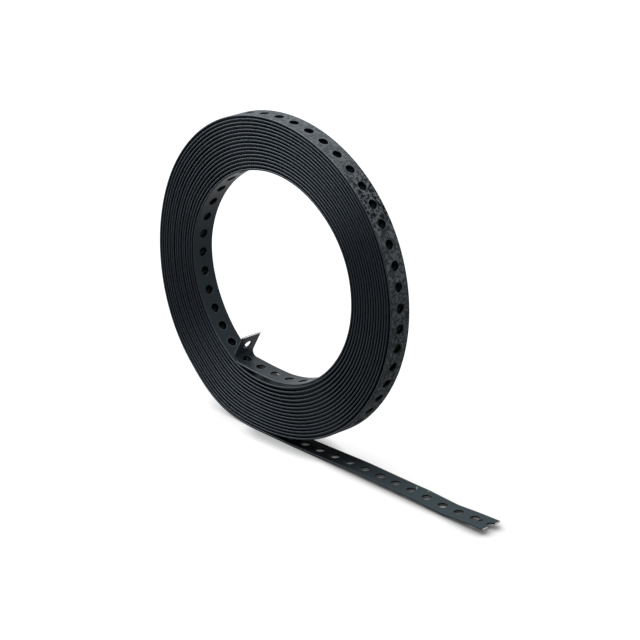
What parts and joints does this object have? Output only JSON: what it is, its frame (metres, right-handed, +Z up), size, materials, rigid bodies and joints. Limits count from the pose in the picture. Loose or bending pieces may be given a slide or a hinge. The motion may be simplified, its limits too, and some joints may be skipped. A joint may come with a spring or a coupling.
{
  "type": "perforated steel strap coil",
  "caption": "Coil of black coated perforated steel strap standing on its rim, with a loose outer end for fixing and a bent inner end.",
  "frame": {"origin": "on the floor, mid-width, under the coil's axis, where the outermost turn leaves the coil", "axes": "+X along the loose outer end, +Y along the coil's axis, away from the face with the tail on its right, +Z up"},
  "size_m": [0.3058, 0.017, 0.2203],
  "materials": {
    "coated_strap": "satin black plastic coating on steel, slightly scuffed"
  },
  "bodies": {
    "root": {"strap": "coated_strap"}
  },
  "joints": []
}
